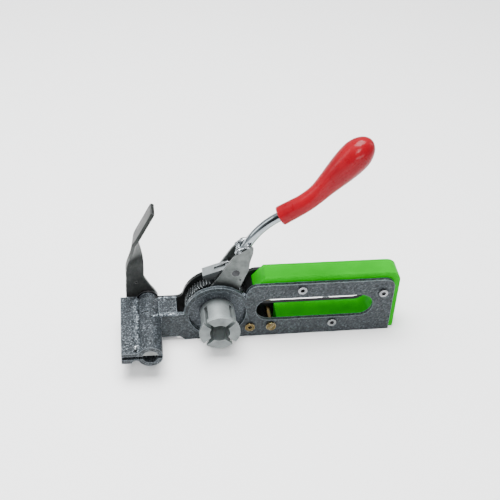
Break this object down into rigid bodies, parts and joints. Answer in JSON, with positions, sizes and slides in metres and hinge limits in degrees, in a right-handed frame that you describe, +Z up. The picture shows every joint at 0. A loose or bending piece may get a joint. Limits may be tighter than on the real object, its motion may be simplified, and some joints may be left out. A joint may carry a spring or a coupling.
{
  "type": "strapping tensioner tool",
  "caption": "Ratchet hand tool that tensions and cuts steel strapping band, with a slotted windlass, a side-plate frame with a finger slot, and a nose with a rotary cutter.",
  "frame": {"origin": "on the windlass axis, at the middle of the slotted drum", "axes": "+X along the tool towards the hand grip, +Y along the windlass axis away from the user's side, +Z up in the plane of the side plates"},
  "size_m": [0.2075, 0.0707, 0.1656],
  "materials": {
    "frame_paint": "charcoal hammertone paint over steel",
    "grip_plastic": "bright green moulded plastic, fine grain",
    "bronze": "oiled bronze",
    "windlass_steel": "turned bright steel",
    "dark_steel": "oiled dark steel",
    "zinc_steel": "bright zinc plate",
    "yoke_zinc": "satin zinc-plated sheet steel",
    "rod_chrome": "chrome plate",
    "red_grip": "glossy dipped soft vinyl",
    "pawl_steel": "hardened steel, ground faces",
    "spring_steel": "spring wire",
    "yellow_zinc": "yellow-passivated zinc plate",
    "black_steel": "blackened steel, semi-gloss"
  },
  "bodies": {
    "frame": {"front_side_plate": "frame_paint", "rear_side_plate": "frame_paint", "arm_web": "frame_paint", "handle_body": "grip_plastic", "front_bearing_plate": "frame_paint", "front_bush": "bronze", "rear_bearing_ring": "frame_paint", "rear_bush": "bronze", "nose_foot": "frame_paint", "cutter_barrel": "frame_paint", "holding_pawl_screw": "yellow_zinc", "holding_pawl_spacers": "yellow_zinc", "holding_pawl_spring": "spring_steel", "spring_post_screw": "yellow_zinc", "frame_nuts": "yellow_zinc", "handle_screws": "zinc_steel", "handle_nuts": "zinc_steel", "cutter_retainer": "zinc_steel"},
    "windlass": {"windlass": "windlass_steel", "ratchet_gear": "dark_steel", "gear_key": "dark_steel", "windlass_washer": "zinc_steel", "windlass_clip": "dark_steel"},
    "lever": {"yoke_front_cheek": "yoke_zinc", "yoke_rear_cheek": "yoke_zinc", "yoke_bridge": "yoke_zinc", "lever_rod": "rod_chrome", "lever_grip": "red_grip", "drive_pawl_pin": "dark_steel"},
    "drive_pawl": {"drive_pawl": "pawl_steel", "drive_pawl_spring": "spring_steel"},
    "holding_pawl": {"holding_pawl": "pawl_steel"},
    "cutter": {"cutter_shaft": "windlass_steel", "cutter_collar": "dark_steel", "cutter_lever": "black_steel", "cutter_washer": "zinc_steel", "cutter_screw": "zinc_steel"}
  },
  "joints": [
    {"name": "windlass_turn", "type": "hinge", "parent": "frame", "child": "windlass", "pos_m": [0, 0, 0], "axis": [0, -1, 0], "continuous": true},
    {"name": "lever_swing", "type": "hinge", "parent": "frame", "child": "lever", "pos_m": [0, 0.0225, 0], "axis": [0, -1, 0], "range_deg": [-12, 60]},
    {"name": "drive_pawl_lift", "type": "hinge", "parent": "lever", "child": "drive_pawl", "pos_m": [0.0134, 0.0225, 0.0336], "axis": [0, 1, 0], "range_deg": [0, 12], "stiffness_Nm_per_rad": 0.05, "springref_deg": -28.65},
    {"name": "holding_pawl_lift", "type": "hinge", "parent": "frame", "child": "holding_pawl", "pos_m": [0.0246, 0.0225, -0.0145], "axis": [0, 1, 0], "range_deg": [0, 12], "stiffness_Nm_per_rad": 0.05, "springref_deg": -28.65, "deforming": ["holding_pawl_spring"]},
    {"name": "cutter_turn", "type": "hinge", "parent": "frame", "child": "cutter", "pos_m": [-0.0506, 0, -0.0036], "axis": [0, -1, 0], "range_deg": [0, 75]}
  ]
}
